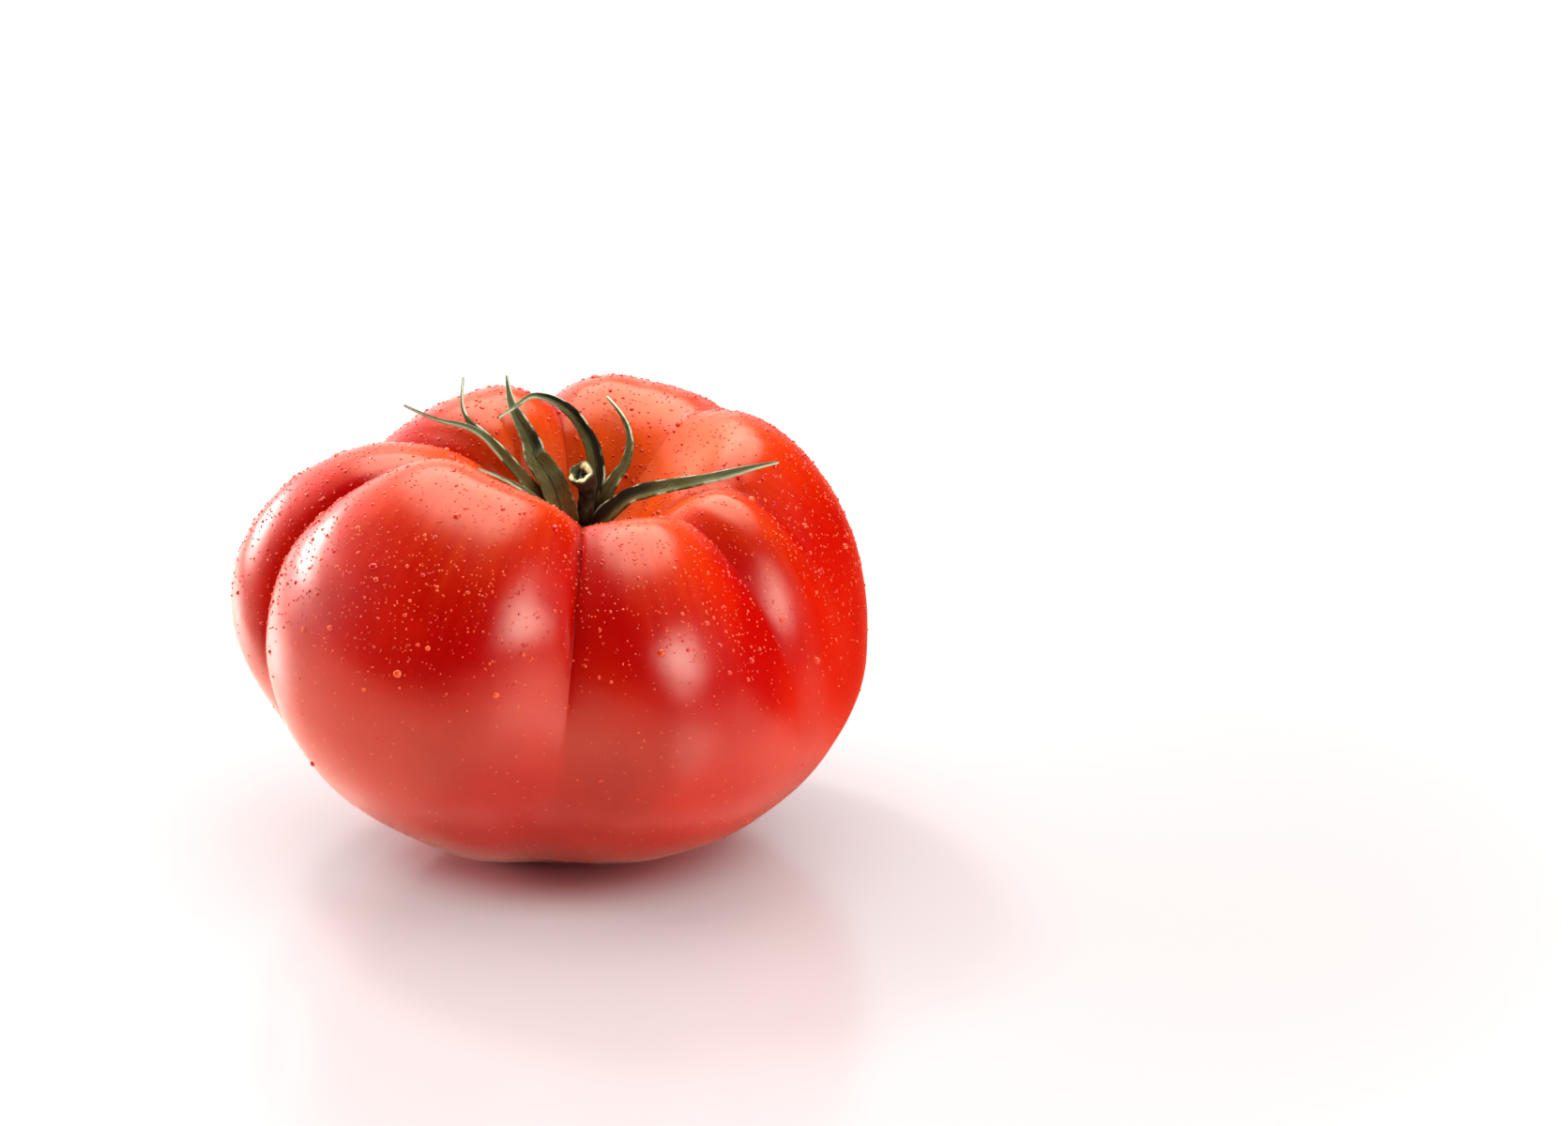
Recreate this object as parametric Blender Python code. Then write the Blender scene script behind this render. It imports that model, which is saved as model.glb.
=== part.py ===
# A ribbed beefsteak tomato, as picked, resting on the small flat spot under its weight.
# Units are metres and +Z is up. The origin lies on the flat spot, below the centre of mass.
# -Y is the front: the deepest furrow runs down there, and the stem end leans a little that way.

import math

import bmesh
import bpy
from mathutils import Matrix, Vector

MM = 0.001

# The fruit's own axis runs from the blossom end up to the stem pit. Its middle stands here, and the
# stem end is tipped towards the front and to the right.
FRUIT_MIDDLE = Vector((-0.6, 4, 32.3)) * MM
TIP_TO_FRONT = math.radians(10.7)
TIP_TO_RIGHT = math.radians(6.7)

# One entry for each lobe, anticlockwise from the front furrow as seen from above, in degrees and mm.
# "furrow" is the direction of the furrow before the lobe, "depth" its depth, "ends" how far down from
# the stem pit it runs before it has faded out, and "blunt" how rounded its bottom is near the pit.
# "bow" is how far the lobe bulges over that furrow and pushes it aside at the level of BOW_LEVEL, and
# "sweep" how far the furrow runs back the other way below that.
# "reach" is the lobe's distance from the axis, "rise" and "drop" are its heights above and below the
# middle, and "shoulder" and "taper" say how slim it is above and below, where 1 is an ellipse.
LOBES = {
    "front_right": {"furrow": -86.5, "depth": 6.5, "ends": 150, "blunt": 0.7,
                    "reach": 49, "rise": 37, "drop": 33.5, "shoulder": 0.89, "taper": 1.33},
    "right": {"furrow": -39.5, "depth": 4.6, "ends": 94, "blunt": 1,
              "reach": 46, "rise": 36, "drop": 32.5, "shoulder": 0.87, "taper": 1.05},
    "back_right": {"furrow": -14.5, "depth": 3.2, "ends": 92, "blunt": 1.1,
                   "reach": 46.5, "rise": 40.5, "drop": 33, "shoulder": 0.88, "taper": 1.08},
    "back": {"furrow": 40.5, "depth": 1.9, "ends": 90, "blunt": 1,
             "reach": 43, "rise": 35.5, "drop": 34, "shoulder": 0.89, "taper": 1},
    "back_left": {"furrow": 103.5, "depth": 4.6, "ends": 110, "blunt": 0.8,
                  "reach": 38, "rise": 34, "drop": 33.5, "shoulder": 0.89, "taper": 1},
    "left": {"furrow": 161, "depth": 5.3, "ends": 110, "blunt": 0.8,
             "reach": 51, "rise": 28.5, "drop": 29, "shoulder": 0.89, "taper": 1.1},
    "front_left": {"furrow": 197.5, "depth": 6.2, "ends": 140, "blunt": 0.65, "bow": 6, "sweep": 7,
                   "reach": 48.5, "rise": 41.5, "drop": 34, "shoulder": 0.88, "taper": 1.16},
}
LOBE_BLEND = 0.62               # how far a lobe's sizes reach into its neighbours, as a share of its width
FURROW_SIDE = math.radians(24)  # the furrow's wall climbs to full height over this much of the turn
FURROW_FADE = math.radians(60)
FURROW_FADED = 2                # how rounded a furrow's bottom is where it fades out
FURROW_START = math.radians(32)  # furrows are shallow inside the stem pit, and full deep from here on
FURROW_IN_PIT = 0.1
BOW_LEVEL = math.radians(60)    # as an angle down from the stem end
SWEEP_SPAN = math.radians(60)   # the sweep has grown to its full size this far below BOW_LEVEL
POLE_EASE = 0.55                # inside this, the lobes' own heights ease into their average

PIT_DEPTH = 22 * MM
PIT_WIDTH = 0.31                # as the sine of the angle down from the axis
PIT_SHIFT = 1.5 * MM            # the pit's bottom lies this far right of the axis
PIT_SHIFT_WIDTH = 0.45

STEPS_PER_LOBE = 12
RINGS = 42

# The receptacle is a shallow button on the floor of the stem pit.
RECEPTACLE_RADIUS = 3.2 * MM
RECEPTACLE_HEIGHT = 1.8 * MM
RECEPTACLE_STEPS = 20
RECEPTACLE_ROUNDING = 0.5 * MM
ROUNDING_STEPS = 2
PIT_CLEARANCE = 1.1 * MM        # from the deepest point of the pit to the receptacle's underside

# Each sepal's midrib, from inside the receptacle to the tip, as (right, back, up) in mm from the middle of
# the receptacle. "width" is half its widest part in mm, "base" its width at the root as a share of that,
# and a higher "taper" keeps it broad for longer. "faces" gives the directions that its upper face looks
# in, at its base and at its tip.
SEPALS = {
    "left_long": {
        "width": 1.4, "base": 0.6, "taper": 1.3, "faces": [(0.3, -0.6, 0.7), (0, -0.5, 0.9)],
        "rib": [(-1.5, 0, 0), (-3.2, 0, 1.5), (-5.2, 0, 3.7), (-8.4, 0.5, 7.5), (-11, 1, 10.5),
                (-13.5, 1.5, 13.2), (-16.5, 2, 15), (-21, 3, 15.8), (-26, 4, 17.8)]},
    "left_up": {
        "width": 1, "base": 0.6, "taper": 1, "faces": [(0.3, -0.6, 0.7), (-0.6, -0.8, 0)],
        "rib": [(-1.2, 1, 0), (-3, 1.3, 1.3), (-5.2, 1.6, 3.6), (-8.5, 2.3, 7.5), (-11.3, 3, 10.8),
                (-14.2, 3.6, 13.5), (-16.3, 4.6, 15), (-17.3, 6, 16.6), (-17.5, 7.5, 18.6), (-17.3, 9, 20.5)]},
    "left_short": {
        "width": 1.2, "base": 0.6, "taper": 1.5, "faces": [(0.4, -0.3, 0.8), (0.2, -0.3, 0.9)],
        "rib": [(-1.3, -0.8, 0), (-2.8, -1.9, 1.1), (-4.6, -2.5, 3.4), (-6.9, -3.5, 6), (-9.2, -5, 8.2),
                (-11.7, -7.4, 10.5), (-14.5, -9.8, 12.6)]},
    "front_kinked": {
        "width": 2.3, "base": 0.6, "taper": 1.8, "faces": [(0.35, -0.9, 0.4), (-0.3, -0.9, 0.3)],
        "rib": [(-0.8, -1.6, 0), (-1.6, -2.2, 1.3), (-2.7, -1.2, 3.7), (-3.9, 0.4, 6.7), (-5.4, 2, 8.8),
                (-6.5, 3, 10.1), (-7, 5, 11.3), (-8.1, 6, 13.4), (-9.4, 7, 15.5), (-10.4, 9, 17.3),
                (-11, 11.5, 20)]},
    "arching": {
        "width": 2.2, "base": 0.35, "taper": 0.75, "faces": [(-0.3, -0.9, 0.2), (-0.3, -0.6, 0.7)],
        "rib": [(0.5, 2, 0), (1.3, 3.3, 1.2), (2, 4.2, 4), (2.6, 5.2, 6.8), (2.1, 7.1, 9.8), (0.8, 8.6, 12.1),
                (-0.8, 9.2, 14.4), (-3, 9.1, 16.3), (-5.3, 8.6, 17.5), (-7.3, 7.6, 17.9), (-9.3, 6, 17),
                (-12, 3, 16)]},
    "right_curl": {
        "width": 2.1, "base": 0.5, "taper": 0.6, "faces": [(-0.3, -0.8, 0.4), (-0.6, -0.7, 0.3)],
        "rib": [(2, 1.3, 0), (3.4, 2.3, 1.3), (4, 3.1, 4), (5.4, 4.1, 6.2), (6.9, 5.6, 8.1),
                (7.5, 7.5, 10.5), (7.1, 9.5, 12.4), (5.8, 11.5, 14.2), (3.8, 13.5, 16)]},
    "right_long": {
        "width": 2.1, "base": 0.5, "taper": 1.4, "faces": [(-0.3, -0.5, 0.8), (0, -0.6, 0.8)],
        "rib": [(1.5, -1.6, 0), (2.9, -2.6, 1.2), (4.9, -3, 3.3), (7.7, -3.9, 5.8), (10.6, -5.4, 7.4),
                (14.2, -7, 8.8), (18.3, -8.9, 10.3), (22.7, -9.3, 11.6), (26.1, -9, 12.5), (29.7, -8, 13)]},
}
STEPS_PER_RIB_POINT = 2
SEPAL_THICKNESS = 0.7 * MM
SEPAL_FOLD = 0.4                # how far the edges stand above the midrib, as a share of the half width
WIDEST_FROM = 0.22              # a sepal has its full width this far along
TIP_NARROWING = 0.82            # and has lost this share of it at the tip

# The stub of the stem stands on the receptacle and bends to the front at its broken end. Its points are
# (right, back, up) from the middle of the receptacle, each with the stub's radius there, in mm.
STEM = [((0.7, 0.2, 1.2), 1.3), ((1, 0.3, 4), 1.2), ((1.3, -0.4, 6.8), 1.4), ((0.4, -2, 9.2), 2)]
STEPS_PER_STEM_POINT = 4
STEM_SIDES = 14
STEM_HOLLOW = 0.8 * MM          # the broken end is dished this deep
STEM_RIM = 0.6 * MM

# Each piece's colour, and its roughness from 0, a mirror, to 1, dull.
FRUIT_RED = (0.62, 0.022, 0.012, 1)
FRUIT_ROUGHNESS = 0.18
CALYX_GREEN = (0.115, 0.125, 0.045, 1)
CALYX_ROUGHNESS = 0.5
STEM_GREEN = (0.2, 0.21, 0.09, 1)
STEM_ROUGHNESS = 0.6


def smooth_step(value):
    value = min(max(value, 0.0), 1.0)
    return value * value * (3 - 2 * value)


def material(name, colour, roughness):
    made = bpy.data.materials.new(name)
    made.use_nodes = True
    shader = made.node_tree.nodes["Principled BSDF"]
    shader.inputs["Base Color"].default_value = colour
    shader.inputs["Roughness"].default_value = roughness
    shader.inputs["Metallic"].default_value = 0
    made.diffuse_color = colour
    return made


def new_object(name, mesh_maker, finish):
    mesh = bpy.data.meshes.new(name)
    mesh_maker.to_mesh(mesh)
    mesh_maker.free()
    mesh.shade_smooth()
    mesh.materials.append(finish)
    made = bpy.data.objects.new(name, mesh)
    bpy.context.scene.collection.objects.link(made)
    return made


# The fruit

lobes = list(LOBES.values())
starts = [math.radians(lobe["furrow"]) for lobe in lobes]
spans = [(starts[(i + 1) % len(lobes)] - starts[i]) % math.tau for i in range(len(lobes))]
average_rise = sum(lobe["rise"] for lobe in lobes) / len(lobes)
average_drop = sum(lobe["drop"] for lobe in lobes) / len(lobes)
fruit_place = (Matrix.Translation(FRUIT_MIDDLE) @ Matrix.Rotation(TIP_TO_RIGHT, 4, "Y")
               @ Matrix.Rotation(TIP_TO_FRONT, 4, "X"))
pit_floor = Vector((PIT_SHIFT, 0, average_rise * MM - PIT_DEPTH))


def blended(key, angle):
    """One of the lobes' sizes at any angle round the fruit."""
    total = 0
    weights = 0
    for start, span, lobe in zip(starts, spans, lobes):
        away = (angle - start - span / 2 + math.pi) % math.tau - math.pi
        weight = math.exp(-(away / (span * LOBE_BLEND)) ** 2)
        total += weight * lobe[key]
        weights += weight
    return total / weights


def furrow_depth(index, share, down):
    """How far the furrows at both sides of a lobe pull its skin in."""
    depth = 0
    for furrow, away in ((index, share), ((index + 1) % len(lobes), 1 - share)):
        lobe = lobes[furrow]
        fade = smooth_step((math.radians(lobe["ends"]) - down) / FURROW_FADE)
        climb = min(away * spans[index] / min(FURROW_SIDE, spans[index] / 2), 1)
        wall = 1 - math.sin(climb * math.pi / 2) ** (lobe["blunt"] * fade + FURROW_FADED * (1 - fade))
        start = FURROW_IN_PIT + (1 - FURROW_IN_PIT) * smooth_step(down / FURROW_START)
        depth += lobe["depth"] * MM * wall * fade * start
    return depth


def bowed(index, share, down):
    """How far the bulging of a lobe and the next one turns a point round the fruit."""
    own, following = lobes[index], lobes[(index + 1) % len(lobes)]
    bow = own.get("bow", 0) * (1 - share) + following.get("bow", 0) * share
    sweep = own.get("sweep", 0) * (1 - share) + following.get("sweep", 0) * share
    low = smooth_step((down - BOW_LEVEL) / SWEEP_SPAN)
    return math.radians(bow) * math.cos(2 * (down - BOW_LEVEL)) - math.radians(sweep) * low


def skin_point(index, share, down):
    """A point on the skin in the fruit's own frame: a share of the way across a lobe, and an angle down
    from the stem end."""
    angle = starts[index] + share * spans[index]
    out = max(math.sin(down), 0.0)
    ease = smooth_step(out / POLE_EASE)
    if math.cos(down) > 0:
        height = (average_rise + (blended("rise", angle) - average_rise) * ease) * MM * math.cos(down)
        height -= PIT_DEPTH * math.exp(-(out / PIT_WIDTH) ** 2)
        radius = blended("reach", angle) * MM * out ** blended("shoulder", angle)
        shift = PIT_SHIFT * math.exp(-(out / PIT_SHIFT_WIDTH) ** 2)
    else:
        height = (average_drop + (blended("drop", angle) - average_drop) * ease) * MM * math.cos(down)
        radius = blended("reach", angle) * MM * out ** blended("taper", angle)
        shift = 0
    inwards = furrow_depth(index, share, down) / max(math.hypot(radius, height), MM)
    radius -= inwards * radius
    height -= inwards * height
    angle -= bowed(index, share, down)
    return Vector((radius * math.cos(angle) + shift, radius * math.sin(angle), height))


def make_fruit():
    meridians = STEPS_PER_LOBE * len(lobes)
    shape = bmesh.new()
    bmesh.ops.create_uvsphere(shape, u_segments=meridians, v_segments=RINGS, radius=1)
    for vertex in shape.verts:
        down = math.acos(min(max(vertex.co.z, -1), 1))
        turn = math.atan2(vertex.co.y, vertex.co.x) % math.tau / math.tau
        index, step = divmod(round(turn * meridians) % meridians, STEPS_PER_LOBE)
        # Meridians crowd together at the furrows, and one runs along the bottom of each.
        share = (1 - math.cos(math.pi * step / STEPS_PER_LOBE)) / 2
        vertex.co = skin_point(index, share, down)
    shape.transform(fruit_place)
    bmesh.ops.bisect_plane(shape, geom=shape.verts[:] + shape.edges[:] + shape.faces[:],
                           plane_co=(0, 0, 0), plane_no=(0, 0, 1), clear_inner=True)
    rim = [edge for edge in shape.edges if edge.is_boundary]
    for vertex in {vertex for edge in rim for vertex in edge.verts}:
        vertex.co.z = 0
    bmesh.ops.contextual_create(shape, geom=rim)
    bmesh.ops.recalc_face_normals(shape, faces=shape.faces[:])
    return new_object("fruit", shape, material("tomato_skin", FRUIT_RED, FRUIT_ROUGHNESS))


# The calyx and the stem

def smooth_route(points, steps_each):
    """Points on a smooth curve through the given vectors, with the same number of steps between them."""
    knots = [points[0] * 2 - points[1]] + points + [points[-1] * 2 - points[-2]]
    route = []
    for first in range(len(points) - 1):
        a, b, c, d = knots[first:first + 4]
        for step in range(steps_each):
            t = step / steps_each
            route.append((b * 2 + (c - a) * t + (a * 2 - b * 5 + c * 4 - d) * t ** 2
                          + (b * 3 - a - c * 3 + d) * t ** 3) / 2)
    return route + [points[-1]]


def sepal_width(along, sepal):
    """The half width along a sepal, as a share of its widest."""
    widening = sepal["base"] + (1 - sepal["base"]) * smooth_step(along / WIDEST_FROM)
    return widening * (1 - TIP_NARROWING * along ** sepal["taper"])


def make_sepal(name, sepal, middle, finish):
    route = smooth_route([middle + Vector(point) * MM for point in sepal["rib"]], STEPS_PER_RIB_POINT)
    last = len(route) - 1
    shape = bmesh.new()
    bmesh.ops.create_grid(shape, x_segments=last, y_segments=2, size=1)
    for vertex in shape.verts:
        along = (vertex.co.x + 1) / 2
        across = vertex.co.y
        step = round(along * last)
        tangent = (route[min(step + 1, last)] - route[max(step - 1, 0)]).normalized()
        upper = Vector(sepal["faces"][0]).lerp(Vector(sepal["faces"][1]), along)
        upper = (upper - tangent * upper.dot(tangent)).normalized()
        half = sepal["width"] * MM * sepal_width(along, sepal)
        vertex.co = route[step] + (upper.cross(tangent) * across + upper * abs(across) * SEPAL_FOLD) * half
    blade = new_object(name, shape, finish)
    thicken = blade.modifiers.new("thickness", "SOLIDIFY")
    thicken.thickness = SEPAL_THICKNESS
    thicken.offset = 0
    return blade


def make_receptacle(seat, finish):
    shape = bmesh.new()
    bmesh.ops.create_cone(shape, cap_ends=True, segments=RECEPTACLE_STEPS, radius1=RECEPTACLE_RADIUS,
                          radius2=RECEPTACLE_RADIUS, depth=RECEPTACLE_HEIGHT,
                          matrix=Matrix.Translation((0, 0, RECEPTACLE_HEIGHT / 2)))
    rims = [edge for edge in shape.edges if edge.verts[0].co.z == edge.verts[1].co.z]
    bmesh.ops.bevel(shape, geom=rims, offset=RECEPTACLE_ROUNDING, affect="EDGES", segments=ROUNDING_STEPS,
                    profile=0.5, material=-1)
    shape.transform(Matrix.Translation(seat) @ fruit_place.to_3x3().to_4x4())
    return new_object("calyx", shape, finish)


def make_calyx(seat, middle):
    """The receptacle with every sepal fused to it in one union."""
    finish = material("sepal_green", CALYX_GREEN, CALYX_ROUGHNESS)
    calyx = make_receptacle(seat, finish)
    blades = bpy.data.collections.new("sepals")
    bpy.context.scene.collection.children.link(blades)
    for name, sepal in SEPALS.items():
        blade = make_sepal(name, sepal, middle, finish)
        bpy.context.scene.collection.objects.unlink(blade)
        blades.objects.link(blade)
    join = calyx.modifiers.new("join", "BOOLEAN")
    join.operation = "UNION"
    join.operand_type = "COLLECTION"
    join.collection = blades
    join.solver = "EXACT"
    fused = bpy.data.meshes.new_from_object(calyx.evaluated_get(bpy.context.evaluated_depsgraph_get()))
    calyx.modifiers.clear()
    calyx.data = fused
    for blade in list(blades.objects):
        bpy.data.objects.remove(blade)
    bpy.data.collections.remove(blades)


def make_stem(middle):
    """Rings along the stub, bridged one to the next, with a dished end."""
    route = smooth_route([middle + Vector(point) * MM for point, radius in STEM], STEPS_PER_STEM_POINT)
    radii = smooth_route([Vector((radius * MM, 0)) for point, radius in STEM], STEPS_PER_STEM_POINT)
    last = len(route) - 1
    foot_direction = fruit_place.to_3x3() @ Vector((0, 0, 1))
    shape = bmesh.new()
    rings = []
    for step, (place, radius) in enumerate(zip(route, radii)):
        direction = route[min(step + 1, last)] - route[max(step - 1, 0)] if step else foot_direction
        turn = direction.to_track_quat("Z", "Y").to_matrix().to_4x4()
        ring = bmesh.ops.create_circle(shape, segments=STEM_SIDES, radius=radius.x,
                                       matrix=Matrix.Translation(place) @ turn)["verts"]
        rings.append({edge for vertex in ring for edge in vertex.link_edges})
    for low, high in zip(rings, rings[1:]):
        bmesh.ops.bridge_loops(shape, edges=list(low | high))
    bmesh.ops.contextual_create(shape, geom=list(rings[0]))
    end = bmesh.ops.contextual_create(shape, geom=list(rings[-1]))["faces"]
    bmesh.ops.recalc_face_normals(shape, faces=shape.faces[:])
    bmesh.ops.inset_region(shape, faces=end, thickness=STEM_RIM, depth=-STEM_HOLLOW)
    bmesh.ops.recalc_face_normals(shape, faces=shape.faces[:])
    return new_object("stem", shape, material("stem_green", STEM_GREEN, STEM_ROUGHNESS))


def main():
    for old in list(bpy.data.objects):
        bpy.data.objects.remove(old)
    make_fruit()
    seat = fruit_place @ (pit_floor + Vector((0, 0, PIT_CLEARANCE)))
    middle = fruit_place @ (pit_floor + Vector((0, 0, PIT_CLEARANCE + RECEPTACLE_HEIGHT / 2)))
    make_calyx(seat, middle)
    make_stem(middle)


main()
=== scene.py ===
# The looks of a ribbed beefsteak tomato with a fine mist of water on it, on a pale floor in studio light.
# Metres, +Z up. -Y is the front. The fruit, the calyx and the stem take over the solids' own places.

import math
import random

import bmesh
import bpy
from mathutils import Matrix, Vector, noise


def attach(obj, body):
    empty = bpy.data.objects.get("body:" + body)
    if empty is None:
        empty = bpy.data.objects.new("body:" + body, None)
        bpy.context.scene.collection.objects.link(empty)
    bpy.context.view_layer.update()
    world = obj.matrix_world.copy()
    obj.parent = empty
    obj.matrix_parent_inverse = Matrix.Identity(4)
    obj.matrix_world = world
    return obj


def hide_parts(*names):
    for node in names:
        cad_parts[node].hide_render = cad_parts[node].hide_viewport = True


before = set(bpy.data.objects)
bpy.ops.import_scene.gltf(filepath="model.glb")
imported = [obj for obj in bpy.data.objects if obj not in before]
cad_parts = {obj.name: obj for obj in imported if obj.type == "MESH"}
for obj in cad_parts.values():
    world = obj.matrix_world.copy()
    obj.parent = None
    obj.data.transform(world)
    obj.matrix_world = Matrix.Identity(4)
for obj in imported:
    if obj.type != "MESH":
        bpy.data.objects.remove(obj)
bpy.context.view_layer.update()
mm = 0.001


# Helpers for shapes

def smoothStep(value):
    value = min(max(value, 0.0), 1.0)
    return value * value * (3 - 2 * value)


def bump(value, middle, width):
    return math.exp(-((value - middle) / width) ** 2)


def ringNoise(around, level, pattern, start=0):
    # an unevenness that meets itself all the way round; pattern is how fine it is round and along
    fineRound, fineAlong = pattern
    return noise.noise(Vector((math.cos(around) * fineRound, math.sin(around) * fineRound,
                               start + level * fineAlong)))


def addPiece(name, shape, finish):
    mesh = bpy.data.meshes.new(name)
    shape.to_mesh(mesh)
    shape.free()
    mesh.shade_smooth()
    mesh.materials.append(finish)
    piece = bpy.data.objects.new(name, mesh)
    bpy.context.scene.collection.objects.link(piece)
    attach(piece, "root")
    return piece


def smoothRoute(points, stepsEach):
    # an even number of steps between the given points, on a curve through them
    knots = [points[0] * 2 - points[1]] + points + [points[-1] * 2 - points[-2]]
    route = []
    for first in range(len(points) - 1):
        a, b, c, d = knots[first:first + 4]
        for step in range(stepsEach):
            t = step / stepsEach
            route.append((b * 2 + (c - a) * t + (a * 2 - b * 5 + c * 4 - d) * t ** 2
                          + (b * 3 - a - c * 3 + d) * t ** 3) / 2)
    return route + [points[-1]]


# Helpers for materials

class Wire:
    # one socket of a material; arithmetic on it adds the Math nodes
    def __init__(self, tree, socket=None):
        self.tree = tree
        self.socket = socket

    def node(self, kind, settings, values, output=0):
        made = self.tree.nodes.new(kind)
        for key, value in settings.items():
            setattr(made, key, value)
        for key, value in values.items():
            if isinstance(value, Wire):
                self.tree.links.new(value.socket, made.inputs[key])
            else:
                made.inputs[key].default_value = value
        return Wire(self.tree, made.outputs[output])

    def maths(self, operation, *values):
        return self.node("ShaderNodeMath", {"operation": operation}, dict(enumerate(values)))

    def __add__(self, other):
        return self.maths("ADD", self, other)

    def __sub__(self, other):
        return self.maths("SUBTRACT", self, other)

    def __rsub__(self, other):
        return self.maths("SUBTRACT", other, self)

    def __mul__(self, other):
        return self.maths("MULTIPLY", self, other)

    __radd__ = __add__
    __rmul__ = __mul__

    def rise(self, low, high):
        # 0 below low and 1 above high, with a smooth climb between
        return self.node("ShaderNodeMapRange", {"interpolation_type": "SMOOTHSTEP"},
                         {"Value": self, "From Min": low, "From Max": high})

    def mix(self, first, second):
        # from the first colour to the second as this goes from 0 to 1
        return self.node("ShaderNodeMix", {"data_type": "RGBA"}, {0: self, 6: first, 7: second}, 2)

    def spots(self, scale, detail, where):
        # a cloudy pattern round 0.5
        return self.node("ShaderNodeTexNoise", {}, {"Vector": where, "Scale": scale, "Detail": detail})

    def distance(self, point):
        return self.node("ShaderNodeVectorMath", {"operation": "DISTANCE"}, {0: self, 1: point}, "Value")

    def part(self, axis):
        return self.node("ShaderNodeSeparateXYZ", {}, {"Vector": self}, axis)

    def stretched(self, factors, where):
        return self.node("ShaderNodeVectorMath", {"operation": "MULTIPLY"}, {0: where, 1: factors})

    def read(self, name, output):
        # what the mesh says at each point
        return self.node("ShaderNodeAttribute", {"attribute_name": name}, {}, output)


def startFinish(name, constants):
    made = bpy.data.materials.new(name)
    made.use_nodes = True
    shader = made.node_tree.nodes["Principled BSDF"]
    for key, value in constants.items():
        shader.inputs[key].default_value = value
    wire = Wire(made.node_tree)
    place = wire.node("ShaderNodeTexCoord", {}, {}, "Object")
    return made, shader, wire, place


def feed(target, links):
    for key, wire in links.items():
        wire.tree.links.new(wire.socket, target.inputs[key])


def relief(height, distance, strength):
    return height.node("ShaderNodeBump", {}, {"Height": height, "Distance": distance, "Strength": strength})


# The camera stands where the photograph's did

camera = {
    "tilt": math.radians(20),           # below the horizon
    "away": 0.9,
    "sensor": 36,                       # mm
    "pictureWidth": 1671,               # pixels
    "pictureHeight": 1200,
    "pixelsPerMm": 675 / 95,            # the fruit is 95 mm and 675 pixels across
    "fruitColumn": 595.6,               # where the fruit's middle shows
    "fruitRow": 658.8,
    "nearest": 0.01,
}
fruitMiddle = Vector((-0.6, 4, 32.3)) * mm


def placeCamera():
    tilt = camera["tilt"]
    focal = camera["pixelsPerMm"] * camera["away"] / mm
    ahead = Vector((0, math.cos(tilt), -math.sin(tilt)))
    upward = Vector((0, math.sin(tilt), math.cos(tilt)))
    rightward = Vector((1, 0, 0))
    aside = (camera["fruitColumn"] - camera["pictureWidth"] / 2) / focal
    above = (camera["pictureHeight"] / 2 - camera["fruitRow"]) / focal
    data = bpy.data.cameras.new("studioCamera")
    data.sensor_width = camera["sensor"]
    data.lens = camera["sensor"] * focal / camera["pictureWidth"]
    data.clip_start = camera["nearest"]
    body = bpy.data.objects.new("studioCamera", data)
    bpy.context.scene.collection.objects.link(body)
    body.location = fruitMiddle - camera["away"] * (ahead + aside * rightward + above * upward)
    body.rotation_euler = (math.pi / 2 - tilt, 0, 0)
    bpy.context.scene.camera = body


placeCamera()
print("camera placed")


# The studio: a pale glossy floor, a bright backdrop, and six soft lights round the fruit

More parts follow.
